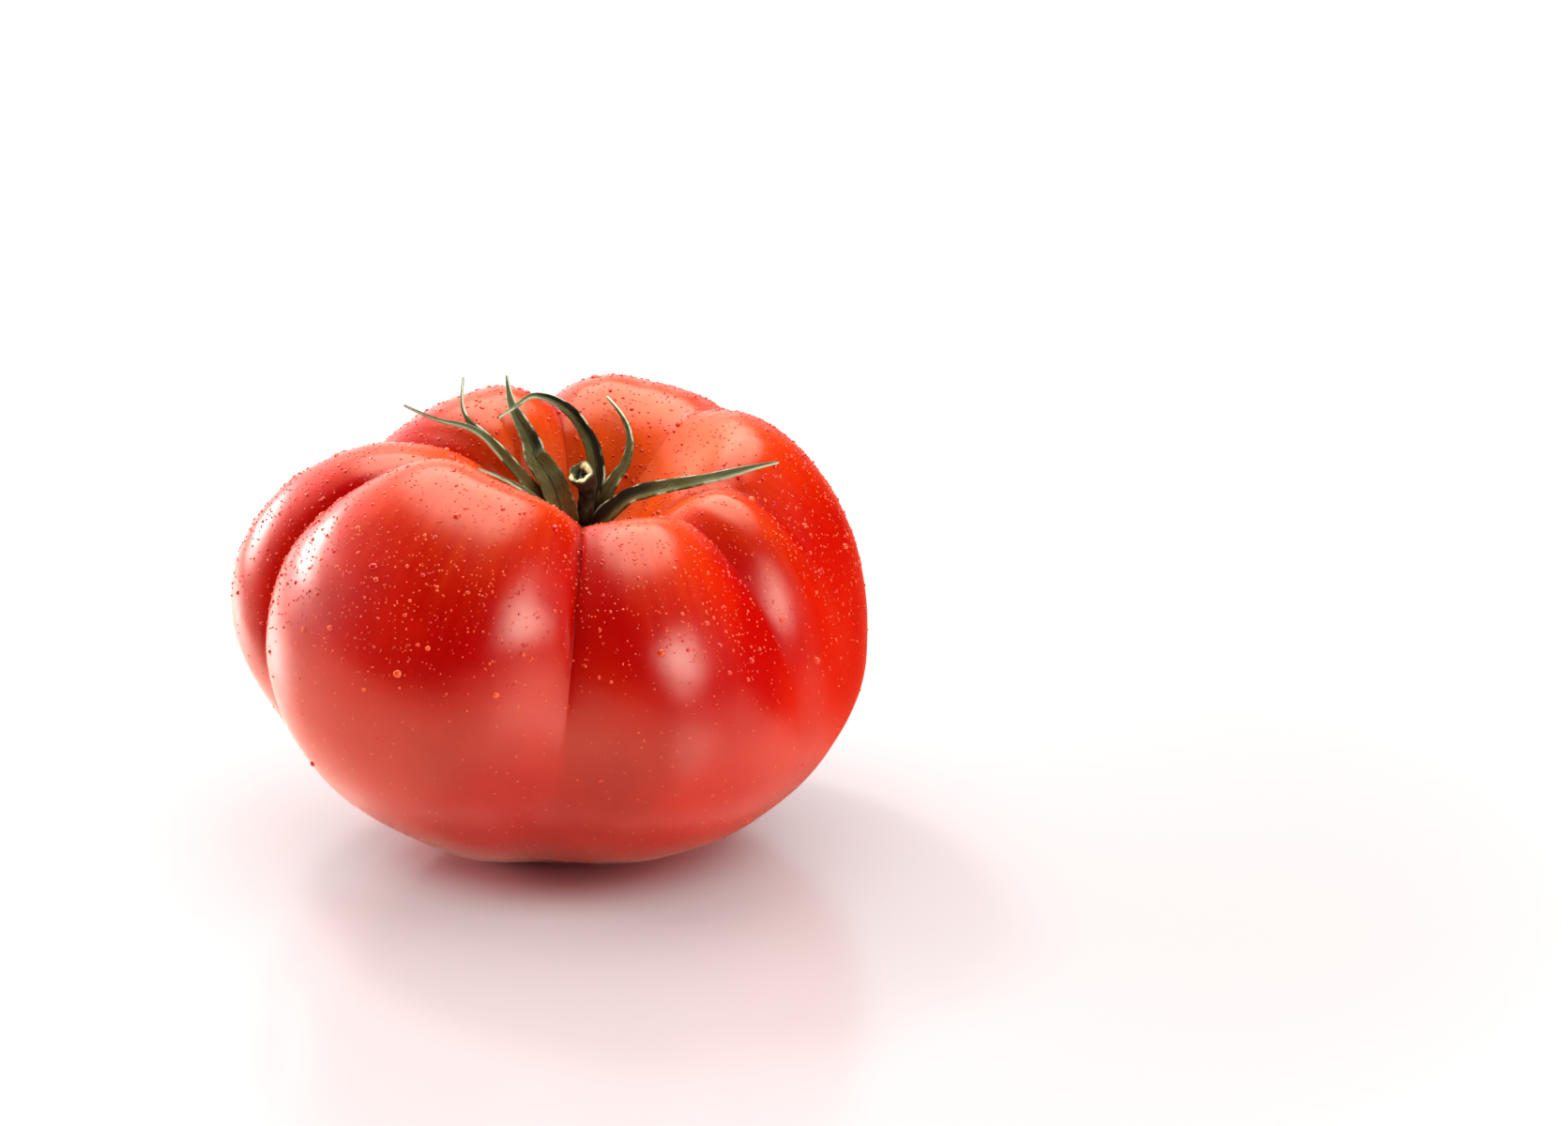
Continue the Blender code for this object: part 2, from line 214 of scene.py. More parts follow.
studio = {
    "floorSize": 6,
    "floorGloss": {"Roughness": 0.2, "IOR": 1.8, "Specular IOR Level": 0.8},
    "floorColour": (0.45, 0.44, 0.435, 1),      # as it shows
    "contactShadowColour": (0.55, 0.26, 0.26, 1),     # painted shadow at the fruit's foot, dark red with a painted reflection of the fruit
    "contactShadowEdge": (0.02, 0.037),               # distances from its middle, where the painted shadow fades out
    "bounceColour": (0.9, 0.79, 0.66, 1),       # as it throws light back
    "warmBounce": (0.5, 0.05, 0.012, 1),        # and the painted red light that it throws back at the right, behind the fruit
    "warmEdgeAside": (-0.01, 0.04),             # where that begins, along X and along Y
    "warmEdgeBehind": (-0.03, 0.03),
    "fadeMiddle": (0.015, -0.015, 0),   # round this point the floor shows
    "fadeEdge": (0.07, 0.2),            # and between these distances it fades into plain white
    "veil": 0.42,                       # how much of that white glow lies over it already near the fruit, where the glow carries a painted pink reflection of the fruit
    "veilFruitReflection": (0.8, 0.64, 0.64, 1),     # where the fruit tinges it
    "white": (1, 1, 1, 1),
    "backdropBright": 1.4,
    "backdropTurn": math.radians(-45),  # the bright part of the backdrop stands at the left
    "backdropEdge": (0.3, 0.9),         # as the cosine of the angle from its middle
    "frontBright": 0.015,
    "warmTurn": math.radians(58),       # and a warm red part at the right
    "warmEdge": (0.62, 0.92),
    "warmColour": (1, 0.075, 0.015, 1),
    "warmBright": 0.5,
    "lightCentre": (0.5, 0.5, 0),       # of a light's own coordinates
    # each light's azimuth from +Y, positive to the right, and its elevation, as seen from the fruit; its
    # strength falls off towards its rim between the two distances of edge, and mirrored says whether
    # gloss shows it
    "lights": {
        "overhead": {"azimuth": 0, "elevation": 78, "away": 0.62, "shape": "RECTANGLE", "mirrored": True,
                     "size": (0.95, 1.1), "power": 13.2, "edge": (0.25, 0.62)},
        "back": {"azimuth": -28, "elevation": 46, "away": 0.8, "shape": "ELLIPSE", "mirrored": False,
                 "size": (0.2, 0.2), "power": 10, "edge": (0.1, 0.5)},
        "side": {"azimuth": -82, "elevation": 14, "away": 0.8, "shape": "ELLIPSE", "mirrored": False,
                 "size": (0.5, 0.4), "power": 7, "edge": (0.1, 0.5)},
        "window": {"azimuth": -60, "elevation": 12, "away": 0.7, "shape": "RECTANGLE", "mirrored": True,
                   "size": (0.85, 0.3), "power": 10.8, "edge": (0, 0.5)},
        "frontFill": {"azimuth": 141, "elevation": 20, "away": 0.8, "shape": "ELLIPSE", "mirrored": True,
                      "size": (1.1, 0.6), "power": 14, "edge": (0, 0.5)},
        "rightFill": {"azimuth": 98, "elevation": 20, "away": 0.8, "shape": "ELLIPSE", "mirrored": False,
                      "size": (0.5, 0.4), "power": 5, "edge": (0.1, 0.5)},
    },
}


def addLight(name, light):
    data = bpy.data.lights.new(name, "AREA")
    data.shape = light["shape"]
    data.size, data.size_y = light["size"]
    data.energy = light["power"]
    data.use_nodes = True
    wire = Wire(data.node_tree)
    spot = wire.node("ShaderNodeNewGeometry", {}, {}, "Parametric")
    glow = 1 - spot.distance(studio["lightCentre"]).rise(*light["edge"])
    feed(data.node_tree.nodes["Emission"], {"Strength": glow})
    lamp = bpy.data.objects.new(name, data)
    bpy.context.scene.collection.objects.link(lamp)
    azimuth = math.radians(light["azimuth"])
    elevation = math.radians(light["elevation"])
    toLight = Vector((math.sin(azimuth) * math.cos(elevation), math.cos(azimuth) * math.cos(elevation),
                      math.sin(elevation)))
    lamp.location = fruitMiddle + toLight * light["away"]
    lamp.rotation_euler = (-toLight).to_track_quat("-Z", "Y").to_euler()
    lamp.visible_glossy = light["mirrored"]


def addWorld():
    # white to the camera; to everything else bright at the back, warm at the right and dim in front
    world = bpy.data.worlds.new("studio")
    world.use_nodes = True
    bpy.context.scene.world = world
    wire = Wire(world.node_tree)
    direction = wire.node("ShaderNodeTexCoord", {}, {}, "Generated")

    def towards(turn):
        aim = (math.sin(turn), math.cos(turn), 0)
        return wire.node("ShaderNodeVectorMath", {"operation": "DOT_PRODUCT"},
                         {0: direction, 1: aim}, "Value")

    behind = towards(studio["backdropTurn"]).rise(*studio["backdropEdge"])
    seen = wire.node("ShaderNodeLightPath", {}, {}, "Is Camera Ray")
    warm = towards(studio["warmTurn"]).rise(*studio["warmEdge"]) * (1 - seen)
    bright = behind * (studio["backdropBright"] - studio["frontBright"]) + studio["frontBright"]
    shown = wire.maths("MAXIMUM", bright, seen) + warm * studio["warmBright"]
    feed(world.node_tree.nodes["Background"],
         {"Strength": shown, "Color": warm.mix(studio["white"], studio["warmColour"])})


def addFloor():
    # the floor itself, and over it, for the camera alone, a veil of light that grows into plain white
    made, shader, wire, place = startFinish("paleFloor", studio["floorGloss"])
    # a painted dark red shadow and reflection of the fruit round its foot
    clear = place.distance((0, 0, 0)).rise(*studio["contactShadowEdge"])
    shown = clear.mix(studio["contactShadowColour"], studio["floorColour"])
    aside = place.part("X").rise(*studio["warmEdgeAside"])
    behind = place.part("Y").rise(*studio["warmEdgeBehind"])
    # painted red bounce light at the right, behind the fruit
    bounce = (aside * behind).mix(studio["bounceColour"], studio["warmBounce"])
    seen = wire.node("ShaderNodeLightPath", {}, {}, "Is Camera Ray")
    feed(shader, {"Base Color": seen.mix(bounce, shown)})
    share = place.distance(studio["fadeMiddle"]).rise(*studio["fadeEdge"])
    near = clear * studio["veil"]
    # the veil glows with a painted pink reflection of the fruit near it and turns white further out
    veil = wire.node("ShaderNodeBsdfPrincipled", {}, {
        "Base Color": (0, 0, 0, 1), "Specular IOR Level": 0, "Emission Strength": 1,
        "Emission Color": share.mix(studio["veilFruitReflection"], studio["white"])})
    solid = Wire(made.node_tree, shader.outputs["BSDF"])
    faded = wire.node("ShaderNodeMixShader", {}, {0: (share * (1 - near) + near) * seen, 1: solid, 2: veil})
    feed(made.node_tree.nodes["Material Output"], {"Surface": faded})
    mesh = bpy.data.meshes.new("floor")
    shape = bmesh.new()
    bmesh.ops.create_grid(shape, x_segments=1, y_segments=1, size=studio["floorSize"] / 2)
    shape.to_mesh(mesh)
    shape.free()
    mesh.materials.append(made)
    floor = bpy.data.objects.new("floor", mesh)
    bpy.context.scene.collection.objects.link(floor)


for lightName, lightFacts in studio["lights"].items():
    addLight(lightName, lightFacts)
addWorld()
addFloor()
bpy.context.scene.view_settings.view_transform = "Standard"
bpy.context.scene.view_settings.look = "Medium High Contrast"
print("studio ready")


# The fruit: seven lobes with furrows between them, in the solid's sizes; only the front furrow is a touch
# blunter. Lobes are in mm and degrees: a furrow stands at an angle from +X towards the back, and ends at
# an angle down from the stem.

fruit = {
    "tipToFront": math.radians(10.7),
    "tipToRight": math.radians(6.7),
    "lobes": {
        "frontRight": {"furrow": -86.5, "depth": 6.5, "ends": 150, "softens": 40, "blunt": 0.78,
                       "reach": 49, "rise": 37, "drop": 33.5, "shoulder": 0.89, "taper": 1.33},
        "right": {"furrow": -39.5, "depth": 4.6, "ends": 94, "blunt": 1,
                  "reach": 46, "rise": 36, "drop": 32.5, "shoulder": 0.87, "taper": 1.05},
        "backRight": {"furrow": -14.5, "depth": 3.2, "ends": 92, "blunt": 1.1,
                      "reach": 46.5, "rise": 40.5, "drop": 33, "shoulder": 0.88, "taper": 1.08},
        "back": {"furrow": 40.5, "depth": 1.9, "ends": 90, "blunt": 1,
                 "reach": 43, "rise": 35.5, "drop": 34, "shoulder": 0.89, "taper": 1},
        "backLeft": {"furrow": 103.5, "depth": 4.6, "ends": 110, "blunt": 0.8,
                     "reach": 38, "rise": 34, "drop": 33.5, "shoulder": 0.89, "taper": 1},
        "left": {"furrow": 161, "depth": 5.3, "ends": 110, "blunt": 0.8,
                 "reach": 51, "rise": 28.5, "drop": 29, "shoulder": 0.89, "taper": 1.1},
        "frontLeft": {"furrow": 197.5, "depth": 6.2, "ends": 140, "blunt": 0.65, "bow": 6, "sweep": 7,
                      "reach": 48.5, "rise": 41.5, "drop": 34, "shoulder": 0.88, "taper": 1.16},
    },
    "lobeBlend": 0.62,                  # how far a lobe's sizes reach into the next ones
    "furrowSide": math.radians(24),     # a furrow's half width
    "furrowFade": math.radians(60),     # how long it runs out
    "furrowFaded": 2,                   # and how blunt it is there
    "furrowStart": math.radians(32),    # where it has its whole depth
    "furrowInPit": 0.1,                 # and its share of that in the pit
    "bowLevel": math.radians(60),       # here a furrow bows most, and from here on down it sweeps aside
    "sweepSpan": math.radians(60),
    "poleEase": 0.55,                   # the lobes' heights grow alike towards the tip
    "pitDepth": 22 * mm,
    "pitWidth": 0.31,
    "pitShift": 1.5 * mm,
    "pitShiftWidth": 0.45,
    "stepsPerLobe": 44,
    "rings": 220,
    "footSoftness": 0.3 * mm,           # how gently the skin turns onto the floor
    "waviness": 0.22 * mm,              # of the whole skin
    "waveSize": 13 * mm,
    "waveEase": 0.3,
    "rippleShare": 0.35,                # smaller waves on the large ones
    "rippleRatio": 2.3,
    "pleats": 0.16 * mm,                # fine folds that run into the stem pit
    "pleatLevel": 0.62,
    "pleatSpread": 0.38,
    "pleatPattern": (9, 2),             # how close they stand, round the fruit and down it
    "crease": 0.5,                      # finer ones between them
    "creasePattern": (23, 3),
    "pitTint": 0.85,                    # how far down the pit's own colour reaches
    "furrowTint": 5 * mm,               # how deep a furrow has its whole colour
    "scar": 0.045,                      # the blossom's small scar underneath, as an angle
}
lobes = list(fruit["lobes"].values())
starts = [math.radians(lobe["furrow"]) for lobe in lobes]
spans = [(starts[(i + 1) % len(lobes)] - starts[i]) % math.tau for i in range(len(lobes))]
average = {key: sum(lobe[key] for lobe in lobes) / len(lobes) for key in ("rise", "drop")}
fruitPlace = (Matrix.Translation(fruitMiddle) @ Matrix.Rotation(fruit["tipToRight"], 4, "Y")
              @ Matrix.Rotation(fruit["tipToFront"], 4, "X"))


def blendedSizes(angle):
    # the lobes' sizes at one angle round the fruit
    weights = []
    for start, span in zip(starts, spans):
        away = (angle - start - span / 2 + math.pi) % math.tau - math.pi
        weights.append(math.exp(-(away / (span * fruit["lobeBlend"])) ** 2))
    return {key: sum(weight * lobe[key] for weight, lobe in zip(weights, lobes)) / sum(weights)
            for key in ("reach", "rise", "drop", "shoulder", "taper")}


def furrowDepth(index, share, down):
    # how deep the two furrows beside a lobe lie at one point of it
    depth = 0
    for furrow, away in ((index, share), ((index + 1) % len(lobes), 1 - share)):
        lobe = lobes[furrow]
        fade = smoothStep((math.radians(lobe["ends"]) - down) / fruit["furrowFade"])
        climb = min(away * spans[index] / min(fruit["furrowSide"], spans[index] / 2), 1)
        crispEnd = math.radians(lobe["ends"] - lobe.get("softens", 0))
        crisp = smoothStep((crispEnd - down) / fruit["furrowFade"])
        rounding = lobe["blunt"] * crisp + fruit["furrowFaded"] * (1 - crisp)
        wall = 1 - math.sin(climb * math.pi / 2) ** rounding
        start = fruit["furrowInPit"] + (1 - fruit["furrowInPit"]) * smoothStep(down / fruit["furrowStart"])
        depth += lobe["depth"] * mm * wall * fade * start
    return depth


def bowed(index, share, down):
    # how far a furrow leans out of its straight line, shared out over the lobes beside it
    own, following = lobes[index], lobes[(index + 1) % len(lobes)]
    bow = own.get("bow", 0) * (1 - share) + following.get("bow", 0) * share
    sweep = own.get("sweep", 0) * (1 - share) + following.get("sweep", 0) * share
    low = smoothStep((down - fruit["bowLevel"]) / fruit["sweepSpan"])
    return math.radians(bow) * math.cos(2 * (down - fruit["bowLevel"])) - math.radians(sweep) * low


def skinPoint(index, share, down, sizes):
    # the skin at one share of a lobe's width and one angle down from the tip
    angle = starts[index] + share * spans[index]
    out = max(math.sin(down), 0.0)
    ease = smoothStep(out / fruit["poleEase"])
    if math.cos(down) > 0:
        height = (average["rise"] + (sizes["rise"] - average["rise"]) * ease) * mm * math.cos(down)
        height -= fruit["pitDepth"] * bump(out, 0, fruit["pitWidth"])
        radius = sizes["reach"] * mm * out ** sizes["shoulder"]
        shift = fruit["pitShift"] * bump(out, 0, fruit["pitShiftWidth"])
    else:
        height = (average["drop"] + (sizes["drop"] - average["drop"]) * ease) * mm * math.cos(down)
        radius = sizes["reach"] * mm * out ** sizes["taper"]
        shift = 0
    depth = furrowDepth(index, share, down)
    inwards = depth / max(math.hypot(radius, height), mm)
    radius -= inwards * radius
    height -= inwards * height
    angle -= bowed(index, share, down)
    return Vector((radius * math.cos(angle) + shift, radius * math.sin(angle), height)), angle, depth


skinLook = {
    "gloss": {"Specular IOR Level": 0.74, "Specular Tint": (1, 0.93, 0.8, 1), "IOR": 1.45,
              "Coat Weight": 0.03, "Coat Roughness": 0.2, "Coat IOR": 1.4, "Subsurface Weight": 0.3,
              "Subsurface Radius": (1, 0.25, 0.06), "Subsurface Scale": 3 * mm},
    "deepRed": (0.33, 0.0002, 0.0002, 1),
    "warmRed": (0.4, 0.007, 0.0005, 1),
    "orange": (0.6, 0.08, 0.003, 1),
    "speck": (0.8, 0.16, 0.03, 1),
    "cork": (0.2, 0.11, 0.035, 1),
    "cloudScale": 45,
    "cloudEdge": (0.38, 0.66),          # between the two reds
    "streaks": (26, 26, 2.2),           # how close they stand, round the fruit and down it
    "pitWarmth": 0.84,                  # how much the pit, the furrows and the streaks turn it orange
    "furrowWarmth": -0.3,
    "streakWarmth": 0.28,
    "warmEdge": (0.1, 1),
    "speckScale": 620,
    "speckSize": (0.05, 0.16),
    "speckShows": 0.3,
    "corkRing": (0.984, 0.993),         # round the calyx
    "corkPatches": (0.3, 0.5),
    "corkShows": 0.85,
    "roughness": 0.22,
    "cloudRoughness": 0.07,
    "grainScale": 520,
    "grainShare": 0.25,
    "swellScale": 150,
    "reliefHeight": 0.12 * mm,
    "reliefStrength": 0.5,
}


def makeSkinFinish():
    look = skinLook
    made, shader, wire, place = startFinish("tomatoSkin", look["gloss"])
    pit = wire.read("pit", "Fac")
    furrow = wire.read("furrow", "Fac")
    clouds = wire.spots(look["cloudScale"], 3, place)
    streaks = wire.spots(1, 4, wire.stretched(look["streaks"], wire.read("streak", "Vector")))
    ground = clouds.rise(*look["cloudEdge"]).mix(look["deepRed"], look["warmRed"])
    warm = pit * look["pitWarmth"] + furrow * look["furrowWarmth"] + (streaks - 0.5) * look["streakWarmth"]
    colour = warm.rise(*look["warmEdge"]).mix(ground, look["orange"])
    cells = wire.node("ShaderNodeTexVoronoi", {}, {"Vector": place, "Scale": look["speckScale"]})
    specks = 1 - cells.rise(*look["speckSize"])
    colour = (specks * look["speckShows"]).mix(colour, look["speck"])
    cork = pit.rise(*look["corkRing"]) + wire.read("scar", "Fac")
    colour = (cork * clouds.rise(*look["corkPatches"]) * look["corkShows"]).mix(colour, look["cork"])
    grain = wire.spots(look["grainScale"], 3, place)
    swell = wire.spots(look["swellScale"], 2, place)
    unevenness = relief(grain * look["grainShare"] + swell, look["reliefHeight"], look["reliefStrength"])
    feed(shader, {"Base Color": colour, "Roughness": clouds * look["cloudRoughness"] + look["roughness"],
                  "Normal": unevenness})
    return made


def makeFruit():
    meridians = fruit["stepsPerLobe"] * len(lobes)
    shape = bmesh.new()
    bmesh.ops.create_uvsphere(shape, u_segments=meridians, v_segments=fruit["rings"], radius=1)
    pitLayer = shape.verts.layers.float.new("pit")
    furrowLayer = shape.verts.layers.float.new("furrow")
    streakLayer = shape.verts.layers.float_vector.new("streak")
    scarLayer = shape.verts.layers.float.new("scar")
    sizes = {}
    for vertex in shape.verts:
        down = math.acos(min(max(vertex.co.z, -1), 1))
        turn = math.atan2(vertex.co.y, vertex.co.x) % math.tau / math.tau
        index, step = divmod(round(turn * meridians) % meridians, fruit["stepsPerLobe"])
        share = (1 - math.cos(math.pi * step / fruit["stepsPerLobe"])) / 2
        if (index, step) not in sizes:
            sizes[index, step] = blendedSizes(starts[index] + share * spans[index])
        point, angle, depth = skinPoint(index, share, down, sizes[index, step])
        out = math.sin(down)
        # fine pleats fan out of the pit, and the whole skin is a little uneven
        pleats = ringNoise(angle, out, fruit["pleatPattern"])
        creases = ringNoise(angle, out, fruit["creasePattern"])
        pleated = bump(down, fruit["pleatLevel"], fruit["pleatSpread"])
        lift = (pleats + creases * fruit["crease"]) * fruit["pleats"] * pleated
        waves = noise.noise(point / fruit["waveSize"])
        waves += noise.noise(point / fruit["waveSize"] * fruit["rippleRatio"]) * fruit["rippleShare"]
        lift += waves * fruit["waviness"] * smoothStep(out / fruit["waveEase"])
        vertex.co = point + point.normalized() * lift
        vertex[pitLayer] = bump(down, 0, fruit["pitTint"]) if math.cos(down) > 0 else 0
        vertex[furrowLayer] = min(depth / fruit["furrowTint"], 1)
        vertex[streakLayer] = Vector((math.cos(angle), math.sin(angle), down))
        vertex[scarLayer] = bump(math.pi - down, 0, fruit["scar"])
    shape.transform(fruitPlace)
    for vertex in shape.verts:
        # the foot is pressed flat where it carries the weight
        vertex.co.z = (vertex.co.z + math.hypot(vertex.co.z, fruit["footSoftness"])) / 2
    bmesh.ops.recalc_face_normals(shape, faces=shape.faces[:])
    piece = addPiece("tomato_fruit", shape, makeSkinFinish())
    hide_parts("fruit")
    return piece


skin = makeFruit()
print("fruit grown")


# The calyx: a button in the pit and seven narrow folded sepals, darkened at their roots by painted shade
# and greener further out

calyx = {
    "pitClearance": 1.1 * mm,
    "radius": 3.2 * mm,                 # of the button
    "height": 1.8 * mm,
    "flute": 0.08,                      # a shallow groove between the sepals' roots
    "sides": 42,
    "rings": 20,
    "stepsPerPoint": 6,
    "stepsAcross": 8,
    "widestFrom": 0.22,
    "tipNarrowing": 0.93,
    "fold": 0.42,                       # how far the edges curl up
    "foldPower": 1.3,
    "ripple": 0.22,                     # and how far they wave
    "ripplePattern": (14, 0.8),         # along and across the blade
    "weaveLength": 8,
    "thickness": 0.42 * mm,
    "dimEnds": (0.08, 0.15),            # how softly the shaded part begins and ends
    "dimSharpness": 2,                  # and how sharp its side is along the midrib
    "dimShift": 0.4,
    # each midrib is (right, back, up) in mm from the button's middle, as in the solids; width is half the
    # widest part in mm, base is the share of it at the root, faces gives the way that the upper face looks
    # at the base and at the tip, and a lower taper narrows the blade sooner; dim is the half that lies in
    # its own shade (1 or -1, or 0 for both halves) and from where to where along the blade
    "sepals": {
        "left_long": {
            "dim": (0, 0, 0.22), "base": 0.6, "taper": 1.3, "width": 1.4,
            "faces": [(0.3, -0.6, 0.7), (0, -0.5, 0.9)],
            "rib": [(-1.5, 0, 0), (-3.2, 0, 1.5), (-5.2, 0, 3.7), (-8.4, 0.5, 7.5), (-11, 1, 10.5),
                    (-13.5, 1.5, 13.2), (-16.5, 2, 15), (-21, 3, 15.8), (-26, 4, 17.8)]},
        "left_up": {
            "dim": (0, 0, 0.2), "base": 0.6, "taper": 1, "width": 1,
            "faces": [(0.3, -0.6, 0.7), (-0.6, -0.8, 0)],
            "rib": [(-1.2, 1, 0), (-3, 1.3, 1.3), (-5.2, 1.6, 3.6), (-8.5, 2.3, 7.5), (-11.3, 3, 10.8),
                    (-14.2, 3.6, 13.5), (-16.3, 4.6, 15), (-17.3, 6, 16.6), (-17.5, 7.5, 18.6),
                    (-17.3, 9, 20.5)]},
        "left_short": {
            "dim": (0, 0, 0.3), "base": 0.6, "taper": 1.5, "width": 1.2,
            "faces": [(0.4, -0.3, 0.8), (0.2, -0.3, 0.9)],
            "rib": [(-1.3, -0.8, 0), (-2.8, -1.9, 1.1), (-4.6, -2.5, 3.4), (-6.9, -3.5, 6), (-9.2, -5, 8.2),
                    (-11.7, -7.4, 10.5), (-14.5, -9.8, 12.6)]},
        "front_kinked": {
            "dim": (-1, 0.48, 0.75), "base": 0.6, "taper": 1.8, "width": 2.3,
            "faces": [(0.35, -0.9, 0.4), (-0.3, -0.9, 0.3)],
            "rib": [(-0.8, -1.6, 0), (-1.6, -2.2, 1.3), (-2.7, -1.2, 3.7), (-3.9, 0.4, 6.7), (-5.4, 2, 8.8),
                    (-6.5, 3, 10.1), (-7, 5, 11.3), (-8.1, 6, 13.4), (-9.4, 7, 15.5), (-10.4, 9, 17.3),
                    (-11, 11.5, 20)]},
        "arching": {
            "dim": (-1, 0.02, 0.85), "base": 0.35, "taper": 0.75, "width": 2.2,
            "faces": [(-0.3, -0.9, 0.2), (-0.3, -0.6, 0.7)],
            "rib": [(0.5, 2, 0), (1.3, 3.3, 1.2), (2, 4.2, 4), (2.6, 5.2, 6.8), (2.1, 7.1, 9.8),
                    (0.8, 8.6, 12.1), (-0.8, 9.2, 14.4), (-3, 9.1, 16.3), (-5.3, 8.6, 17.5),
                    (-7.3, 7.6, 17.9), (-9.3, 6, 17), (-12, 3, 16)]},
        "right_curl": {
            "dim": (1, 0, 0.3), "base": 0.5, "taper": 0.6, "width": 2.1,
            "faces": [(-0.3, -0.8, 0.4), (-0.6, -0.7, 0.3)],
            "rib": [(2, 1.3, 0), (3.4, 2.3, 1.3), (4, 3.1, 4), (5.4, 4.1, 6.2), (6.9, 5.6, 8.1),
                    (7.5, 7.5, 10.5), (7.1, 9.5, 12.4), (5.8, 11.5, 14.2), (3.8, 13.5, 16)]},
        "right_long": {
            "dim": (1, 0, 0.55), "base": 0.5, "taper": 1.4, "width": 2.1,
            "faces": [(-0.3, -0.5, 0.8), (0, -0.6, 0.8)],
            "rib": [(1.5, -1.6, 0), (2.9, -2.6, 1.2), (4.9, -3, 3.3), (7.7, -3.9, 5.8), (10.6, -5.4, 7.4),
                    (14.2, -7, 8.8), (18.3, -8.9, 10.3), (22.7, -9.3, 11.6), (26.1, -9, 12.5),
                    (29.7, -8, 13)]},
    },
}
pitFloor = Vector((fruit["pitShift"], 0, average["rise"] * mm - fruit["pitDepth"]))
seat = fruitPlace @ (pitFloor + Vector((0, 0, calyx["pitClearance"])))
buttonMiddle = fruitPlace @ (pitFloor + Vector((0, 0, calyx["pitClearance"] + calyx["height"] / 2)))


sepalLook = {
    "gloss": {"Specular IOR Level": 0.2, "Sheen Weight": 0.04, "Sheen Roughness": 0.4,
              "Sheen Tint": (0.8, 0.9, 0.7, 1)},
    "brown": (0.11, 0.064, 0.014, 1),
    "olive": (0.088, 0.078, 0.02, 1),
    "greyGreen": (0.13, 0.15, 0.065, 1),
    "dark": (0.007, 0.008, 0.004, 1),
    "pale": (0.4, 0.46, 0.32, 1),
    "patchScale": 420,
    "broadScale": 150,
    "fibres": (22, 3, 1),               # how close they stand, across and along the blade
    "oliveEdge": (0.12, 0.45),          # from brown to olive along the blade, with uneven patches
    "olivePatches": 0.7,
    "greenEdge": (0.25, 0.8),           # and on to grey-green
    "greenAlong": 0.8,
    "greenPatches": 1.3,
    "fibreEdge": (0, 0.6),              # dark lines between the fibres
    "fibreFrom": 0.42,
    "fibreContrast": 2.2,
    "fibreShows": 0.7,
    "shadeShows": 0.88,
    "rootShadeEdge": (0.02, 0.14),
    "rootShadeShows": 0.8,
    "marginEdge": (0.8, 1),             # the pale margin, in pieces towards the tip
    "marginAlong": (0.3, 0.8),
    "marginPatches": 3.2,
    "marginShows": 0.9,
    "ribEdge": (0.03, 0.16),
    "ribPatches": (0.35, 0.6),
    "ribShows": 0.7,
    "roughness": 0.5,
    "patchRoughness": 0.2,
    "ribRelief": 0.6,
    "patchRelief": 0.4,
    "reliefHeight": 0.16 * mm,
    "reliefStrength": 0.7,
}


def makeSepalFinish():
    look = sepalLook
    dark = look["dark"]
    made, shader, wire, place = startFinish("sepalGreen", look["gloss"])
    along = wire.read("along", "Fac")
    edge = wire.maths("ABSOLUTE", wire.read("across", "Fac"))
    patches = wire.spots(look["patchScale"], 3, place)
    broad = wire.spots(look["broadScale"], 2, place) - 0.5
    fibres = wire.spots(1, 3, wire.stretched(look["fibres"], wire.read("weave", "Vector")))
    olive = (along + broad * look["olivePatches"]).rise(*look["oliveEdge"])
    colour = olive.mix(look["brown"], look["olive"])
    green = (along * look["greenAlong"] + broad * look["greenPatches"]).rise(*look["greenEdge"])
    colour = green.mix(colour, look["greyGreen"])
    lines = ((fibres - look["fibreFrom"]) * look["fibreContrast"]).rise(*look["fibreEdge"])
    colour = (lines * look["fibreShows"]).mix(colour, dark)
    colour = (wire.read("shade", "Fac") * look["shadeShows"]).mix(colour, dark)
    # painted shade darkens each blade towards its root
    root = 1 - along.rise(*look["rootShadeEdge"])
    colour = (root * look["rootShadeShows"]).mix(colour, dark)
    pieces = (along + (patches - 0.5) * look["marginPatches"]).rise(*look["marginAlong"])
    colour = (edge.rise(*look["marginEdge"]) * pieces * look["marginShows"]).mix(colour, look["pale"])
    rib = 1 - edge.rise(*look["ribEdge"])
    colour = (rib * patches.rise(*look["ribPatches"]) * look["ribShows"]).mix(colour, dark)
    height = fibres + rib * look["ribRelief"] + patches * look["patchRelief"]
    feed(shader, {"Base Color": colour, "Roughness": patches * look["patchRoughness"] + look["roughness"],
                  "Normal": relief(height, look["reliefHeight"], look["reliefStrength"])})
    return made


def sepalWidth(along, sepal):
    widening = sepal["base"] + (1 - sepal["base"]) * smoothStep(along / calyx["widestFrom"])
    return widening * (1 - calyx["tipNarrowing"] * along ** sepal["taper"])


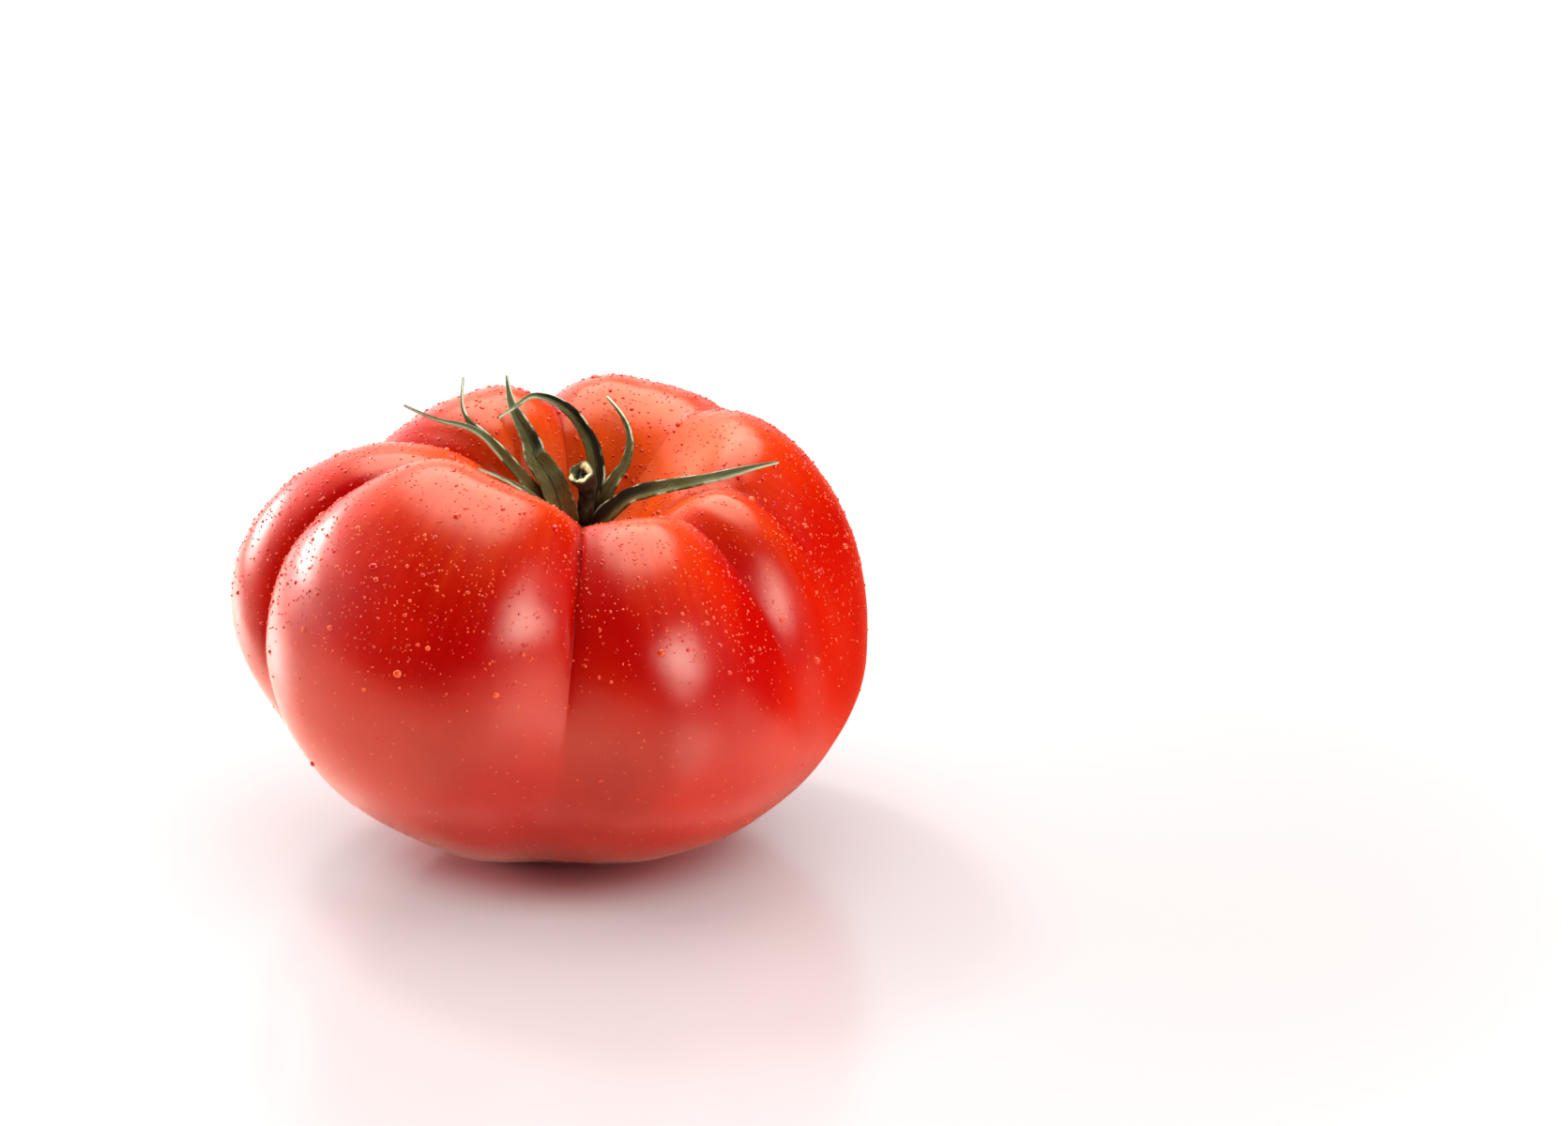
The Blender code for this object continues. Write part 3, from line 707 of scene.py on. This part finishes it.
def makeSepal(name, sepal, finish):
    # a flat blade, bent along its midrib, folded and then given its thickness
    route = smoothRoute([buttonMiddle + Vector(point) * mm for point in sepal["rib"]],
                        calyx["stepsPerPoint"])
    last = len(route) - 1
    shape = bmesh.new()
    bmesh.ops.create_grid(shape, x_segments=last, y_segments=calyx["stepsAcross"], size=1)
    alongLayer = shape.verts.layers.float.new("along")
    acrossLayer = shape.verts.layers.float.new("across")
    weaveLayer = shape.verts.layers.float_vector.new("weave")
    shadeLayer = shape.verts.layers.float.new("shade")
    dimHalf, dimFrom, dimTo = sepal["dim"]
    dimStart, dimEnd = calyx["dimEnds"]
    ripplesAlong, ripplesAcross = calyx["ripplePattern"]
    for vertex in shape.verts:
        along = (vertex.co.x + 1) / 2
        across = vertex.co.y
        step = round(along * last)
        tangent = (route[min(step + 1, last)] - route[max(step - 1, 0)]).normalized()
        upper = Vector(sepal["faces"][0]).lerp(Vector(sepal["faces"][1]), along)
        upper = (upper - tangent * upper.dot(tangent)).normalized()
        half = sepal["width"] * mm * sepalWidth(along, sepal)
        curl = calyx["fold"] * abs(across) ** calyx["foldPower"]
        waves = noise.noise(Vector((along * ripplesAlong, across * ripplesAcross, len(name))))
        ripple = waves * calyx["ripple"] * abs(across)
        vertex.co = route[step] + (upper.cross(tangent) * across + upper * (curl + ripple)) * half
        vertex[alongLayer] = along
        vertex[acrossLayer] = across
        vertex[weaveLayer] = Vector((across, along * calyx["weaveLength"], 0))
        ends = smoothStep((along - dimFrom) / dimStart) * smoothStep((dimTo - along) / dimEnd)
        side = smoothStep(dimHalf * across * calyx["dimSharpness"] + calyx["dimShift"]) if dimHalf else 1
        vertex[shadeLayer] = ends * side
    piece = addPiece("sepal_" + name, shape, finish)
    thicken = piece.modifiers.new("thickness", "SOLIDIFY")
    thicken.thickness = calyx["thickness"]
    thicken.offset = 0
    finer = piece.modifiers.new("smoothing", "SUBSURF")
    finer.levels = 1
    finer.render_levels = 1
    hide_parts("calyx")


def makeButton(finish):
    # a low knob, given the same painted shade as the sepals' roots because its along is 0
    shape = bmesh.new()
    bmesh.ops.create_uvsphere(shape, u_segments=calyx["sides"], v_segments=calyx["rings"], radius=1)
    alongLayer = shape.verts.layers.float.new("along")
    for vertex in shape.verts:
        around = math.atan2(vertex.co.y, vertex.co.x)
        flute = 1 + calyx["flute"] * math.cos(around * len(calyx["sepals"]))
        vertex.co.x *= calyx["radius"] * flute
        vertex.co.y *= calyx["radius"] * flute
        vertex.co.z = (vertex.co.z * 0.5 + 0.5) * calyx["height"]
        vertex[alongLayer] = 0
    shape.transform(Matrix.Translation(seat) @ fruitPlace.to_3x3().to_4x4())
    piece = addPiece("calyx_button", shape, finish)
    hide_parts("calyx")


sepalFinish = makeSepalFinish()
makeButton(sepalFinish)
for sepalName, sepalFacts in calyx["sepals"].items():
    makeSepal(sepalName, sepalFacts, sepalFinish)
print("calyx grown")


# The stub of the stem, with its broken end

stem = {
    # (right, back, up) from the button's middle and the radius there, in mm
    "line": [((0.7, 0.2, 1.2), 1.3), ((1, 0.3, 4), 1.2), ((1.3, -0.4, 6.8), 1.4), ((0.4, -2, 9.2), 2)],
    "stepsPerPoint": 8,
    "sides": 36,
    "ridges": 5,
    "ridgeHeight": 0.06,
    "roughness": 0.12,                  # of its bark
    "roughPattern": (2, 0.35),          # round the stem and from ring to ring
    "hollow": 0.8 * mm,                 # in the broken end
    "hollowAside": Vector((-0.45, 0, 0.1)) * mm,    # it lies nearer to the left of the end
    # rings of the broken end, from its rim inwards: the share of the radius that they lie inside the rim,
    # the share of the hollow's depth, and how much painted shade they have
    "endRings": [(0.2, -0.15, 0), (0.42, 0.3, 0.3), (0.6, 0.8, 0.8), (0.85, 0.9, 1)],
    "tear": 0.5 * mm,                   # how uneven the broken end is
    "tearPattern": (2.3, 0.2),
    "tearStart": 5,
    "splinters": 0.5,                   # finer ones on it
    "splinterPattern": (7, 1),
}


stemLook = {
    "gloss": {"Specular IOR Level": 0.3, "Sheen Weight": 0.06, "Sheen Roughness": 0.4},
    # the bark is near black, partly its own dark colour and partly painted shade among the sepals' roots
    "darkShadedBark": (0.009, 0.009, 0.004, 1),
    "paleBark": (0.04, 0.036, 0.014, 1),
    "rimBark": (0.1, 0.1, 0.04, 1),     # next to the broken end
    "darkFlesh": (0.05, 0.05, 0.018, 1),
    "cream": (0.6, 0.57, 0.3, 1),
    "greenFlesh": (0.2, 0.2, 0.08, 1),
    # painted shade inside the broken end's hollow
    "hollow": (0.03, 0.03, 0.012, 1),
    "patchScale": 700,
    "broadScale": 330,
    "barkEdge": (0.35, 0.65),
    "rimEdge": (0, 0.3),
    "creamEdge": (0.45, 0.56),
    "greenEdge": (0.5, 0.7),
    "brokenEdge": (0.4, 0.9),
    "hollowShadeEdge": (0.2, 0.8),
    "roughness": 0.55,
    "patchRoughness": 0.2,
    "reliefHeight": 0.4 * mm,
    "reliefStrength": 1,
}


def makeStemFinish():
    look = stemLook
    made, shader, wire, place = startFinish("stemGreen", look["gloss"])
    broken = wire.read("broken", "Fac")
    patches = wire.spots(look["patchScale"], 3, place)
    broad = wire.spots(look["broadScale"], 1, place)
    bark = patches.rise(*look["barkEdge"]).mix(look["darkShadedBark"], look["paleBark"])
    bark = broken.rise(*look["rimEdge"]).mix(bark, look["rimBark"])
    flesh = broad.rise(*look["creamEdge"]).mix(look["darkFlesh"], look["cream"])
    flesh = patches.rise(*look["greenEdge"]).mix(flesh, look["greenFlesh"])
    colour = broken.rise(*look["brokenEdge"]).mix(bark, flesh)
    # painted shade darkens the hollow of the broken end
    colour = wire.read("hollowShade", "Fac").rise(*look["hollowShadeEdge"]).mix(colour, look["hollow"])
    feed(shader, {"Base Color": colour, "Roughness": patches * look["patchRoughness"] + look["roughness"],
                  "Normal": relief(patches, look["reliefHeight"], look["reliefStrength"])})
    return made


def makeStem():
    route = smoothRoute([buttonMiddle + Vector(point) * mm for point, radius in stem["line"]],
                        stem["stepsPerPoint"])
    radii = smoothRoute([Vector((radius * mm, 0)) for point, radius in stem["line"]], stem["stepsPerPoint"])
    last = len(route) - 1
    shape = bmesh.new()
    brokenLayer = shape.verts.layers.float.new("broken")
    hollowShadeLayer = shape.verts.layers.float.new("hollowShade")
    stops = [(place, radius.x, 0, 0) for place, radius in zip(route, radii)]
    endWay = (route[last] - route[last - 1]).normalized()
    rim = radii[last].x
    for inset, sink, hollowShade in stem["endRings"]:
        middle = route[last] - endWay * stem["hollow"] * sink + stem["hollowAside"] * inset
        stops.append((middle, rim * (1 - inset), 1, hollowShade))
    rings = []
    for step, (place, radius, broken, hollowShade) in enumerate(stops):
        if step == 0:
            way = fruitPlace.to_3x3() @ Vector((0, 0, 1))
        elif step < last:
            way = route[step + 1] - route[step - 1]
        else:
            way = endWay
        turn = way.to_track_quat("Z", "Y").to_matrix().to_4x4()
        ring = bmesh.ops.create_circle(shape, segments=stem["sides"], radius=radius,
                                       matrix=Matrix.Translation(place) @ turn)["verts"]
        for number, vertex in enumerate(ring):
            around = number / stem["sides"] * math.tau
            ridge = stem["ridgeHeight"] * math.cos(around * stem["ridges"])
            rough = ringNoise(around, step, stem["roughPattern"]) * stem["roughness"]
            vertex.co = place + (vertex.co - place) * (1 + ridge + rough)
            if broken or step == last:
                tear = ringNoise(around, step, stem["tearPattern"], stem["tearStart"])
                splinters = ringNoise(around, step, stem["splinterPattern"])
                vertex.co += endWay * (tear + splinters * stem["splinters"]) * stem["tear"]
            vertex[brokenLayer] = broken
            vertex[hollowShadeLayer] = hollowShade
        rings.append({edge for vertex in ring for edge in vertex.link_edges})
    for lower, upper in zip(rings, rings[1:]):
        bmesh.ops.bridge_loops(shape, edges=list(lower | upper))
    bmesh.ops.contextual_create(shape, geom=list(rings[0]))
    bmesh.ops.contextual_create(shape, geom=list(rings[-1]))
    bmesh.ops.recalc_face_normals(shape, faces=shape.faces[:])
    piece = addPiece("stem_stub", shape, makeStemFinish())
    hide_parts("stem")


makeStem()
print("stem made")


# The mist of water that lies on the skin

water = {
    "seed": 11,
    "flatness": 0.6,                    # height over radius
    "reach": 7 * mm,                    # no drop lies nearer to the middle of the calyx
    "lowest": 3 * mm,                   # or lower than this
    "cell": 1.4 * mm,                   # no finer drop shares a cell of this size with a bead
    "stretch": (0.85, 1.2),
    "wetFrom": 24 * mm,                 # the water lies mostly on the upper skin
    "wetRise": 26 * mm,
    "wetLow": 0.015,
    "wetFacing": (0.35, 0.9),           # and on what faces up
    # how many, their smallest and largest radius, how rare the larger ones are, and each one's sides
    "sizes": {
        "water_beads": {"count": 70, "radius": (0.38 * mm, 0.65 * mm), "rarity": 1.5, "sides": (16, 8)},
        "water_drops": {"count": 900, "radius": (0.2 * mm, 0.36 * mm), "rarity": 2, "sides": (8, 5)},
        "water_mist": {"count": 5200, "radius": (0.11 * mm, 0.2 * mm), "rarity": 1, "sides": (6, 4)},
    },
}


waterLook = {
    "gloss": {"Roughness": 0.04, "IOR": 1.33, "Specular IOR Level": 0.5, "Coat Weight": 0.6,
              "Coat Roughness": 0.02},
    # the skin's red seen through the water, painted brighter for the light that a drop gathers
    "deepRed": (0.45, 0.004, 0.001, 1),
    "warmRed": (0.62, 0.07, 0.01, 1),
    "tintScale": 300,
    "tintEdge": (0.35, 0.65),
}


def makeWaterFinish():
    # water lets the skin's red through but not its dull gloss, so a drop is a clear-glossed red dome; its
    # red is painted brighter than the skin's, as painted light that the drop gathers
    made, shader, wire, place = startFinish("waterOnSkin", waterLook["gloss"])
    tint = wire.spots(waterLook["tintScale"], 2, place).rise(*waterLook["tintEdge"])
    feed(shader, {"Base Color": tint.mix(waterLook["deepRed"], waterLook["warmRed"])})
    return made


def skinPatches():
    # the corners of each of the skin's faces; the sphere lists its faces in another order in each run, so
    # each starts at its lowest corner and all are sorted, and the drops lie at the same places every time
    patches = []
    for face in skin.data.polygons:
        numbers = tuple(face.vertices)
        first = numbers.index(min(numbers))
        patches.append(numbers[first:] + numbers[:first])
    return [[skin.data.vertices[number].co for number in patch] for patch in sorted(patches)]


def outwards(corners):
    # the way that a patch faces, twice as long as its area
    return (corners[2] - corners[0]).cross(corners[-1] - corners[1])


def wetness(corners):
    # how many drops a patch gets, by its area, its height and the way that it faces
    facing = outwards(corners)
    height = sum(corner.z for corner in corners) / len(corners)
    high = smoothStep((height - water["wetFrom"]) / water["wetRise"])
    up = smoothStep((facing.normalized().z + water["wetFacing"][0]) / water["wetFacing"][1])
    return facing.length * (water["wetLow"] + high * up)


def scatterDrops(name, facts, finish, draw, taken, patches, weights):
    # one drop is modelled, and laid on the skin again and again
    one = bmesh.new()
    bmesh.ops.create_uvsphere(one, u_segments=facts["sides"][0], v_segments=facts["sides"][1], radius=1)
    drop = bpy.data.meshes.new("drop")
    one.to_mesh(drop)
    one.free()
    least, most = facts["radius"]
    shape = bmesh.new()
    for corners in draw.choices(patches, weights, k=facts["count"]):
        radius = least + (most - least) * draw.random() ** facts["rarity"]
        over, down = draw.random(), draw.random()
        place = corners[0].lerp(corners[1], over).lerp(corners[-1].lerp(corners[2], over), down)
        stretch = draw.uniform(*water["stretch"])
        cell = tuple(round(part / water["cell"]) for part in place)
        if (place - buttonMiddle).length < water["reach"] or place.z < water["lowest"] or cell in taken:
            continue
        if name == "water_beads":
            taken.add(cell)
        turn = outwards(corners).to_track_quat("Z", "Y").to_matrix().to_4x4()
        scale = Matrix.Diagonal((radius * stretch, radius / stretch, radius * water["flatness"], 1))
        laid = Matrix.Translation(place) @ turn @ scale
        drop.transform(laid)
        shape.from_mesh(drop)
        drop.transform(laid.inverted())
    bpy.data.meshes.remove(drop)
    addPiece(name, shape, finish)


def makeWater():
    draw = random.Random(water["seed"])
    finish = makeWaterFinish()
    taken = set()
    patches = skinPatches()
    weights = [wetness(corners) for corners in patches]
    for name, facts in water["sizes"].items():
        scatterDrops(name, facts, finish, draw, taken, patches, weights)


makeWater()
print("water sprayed")
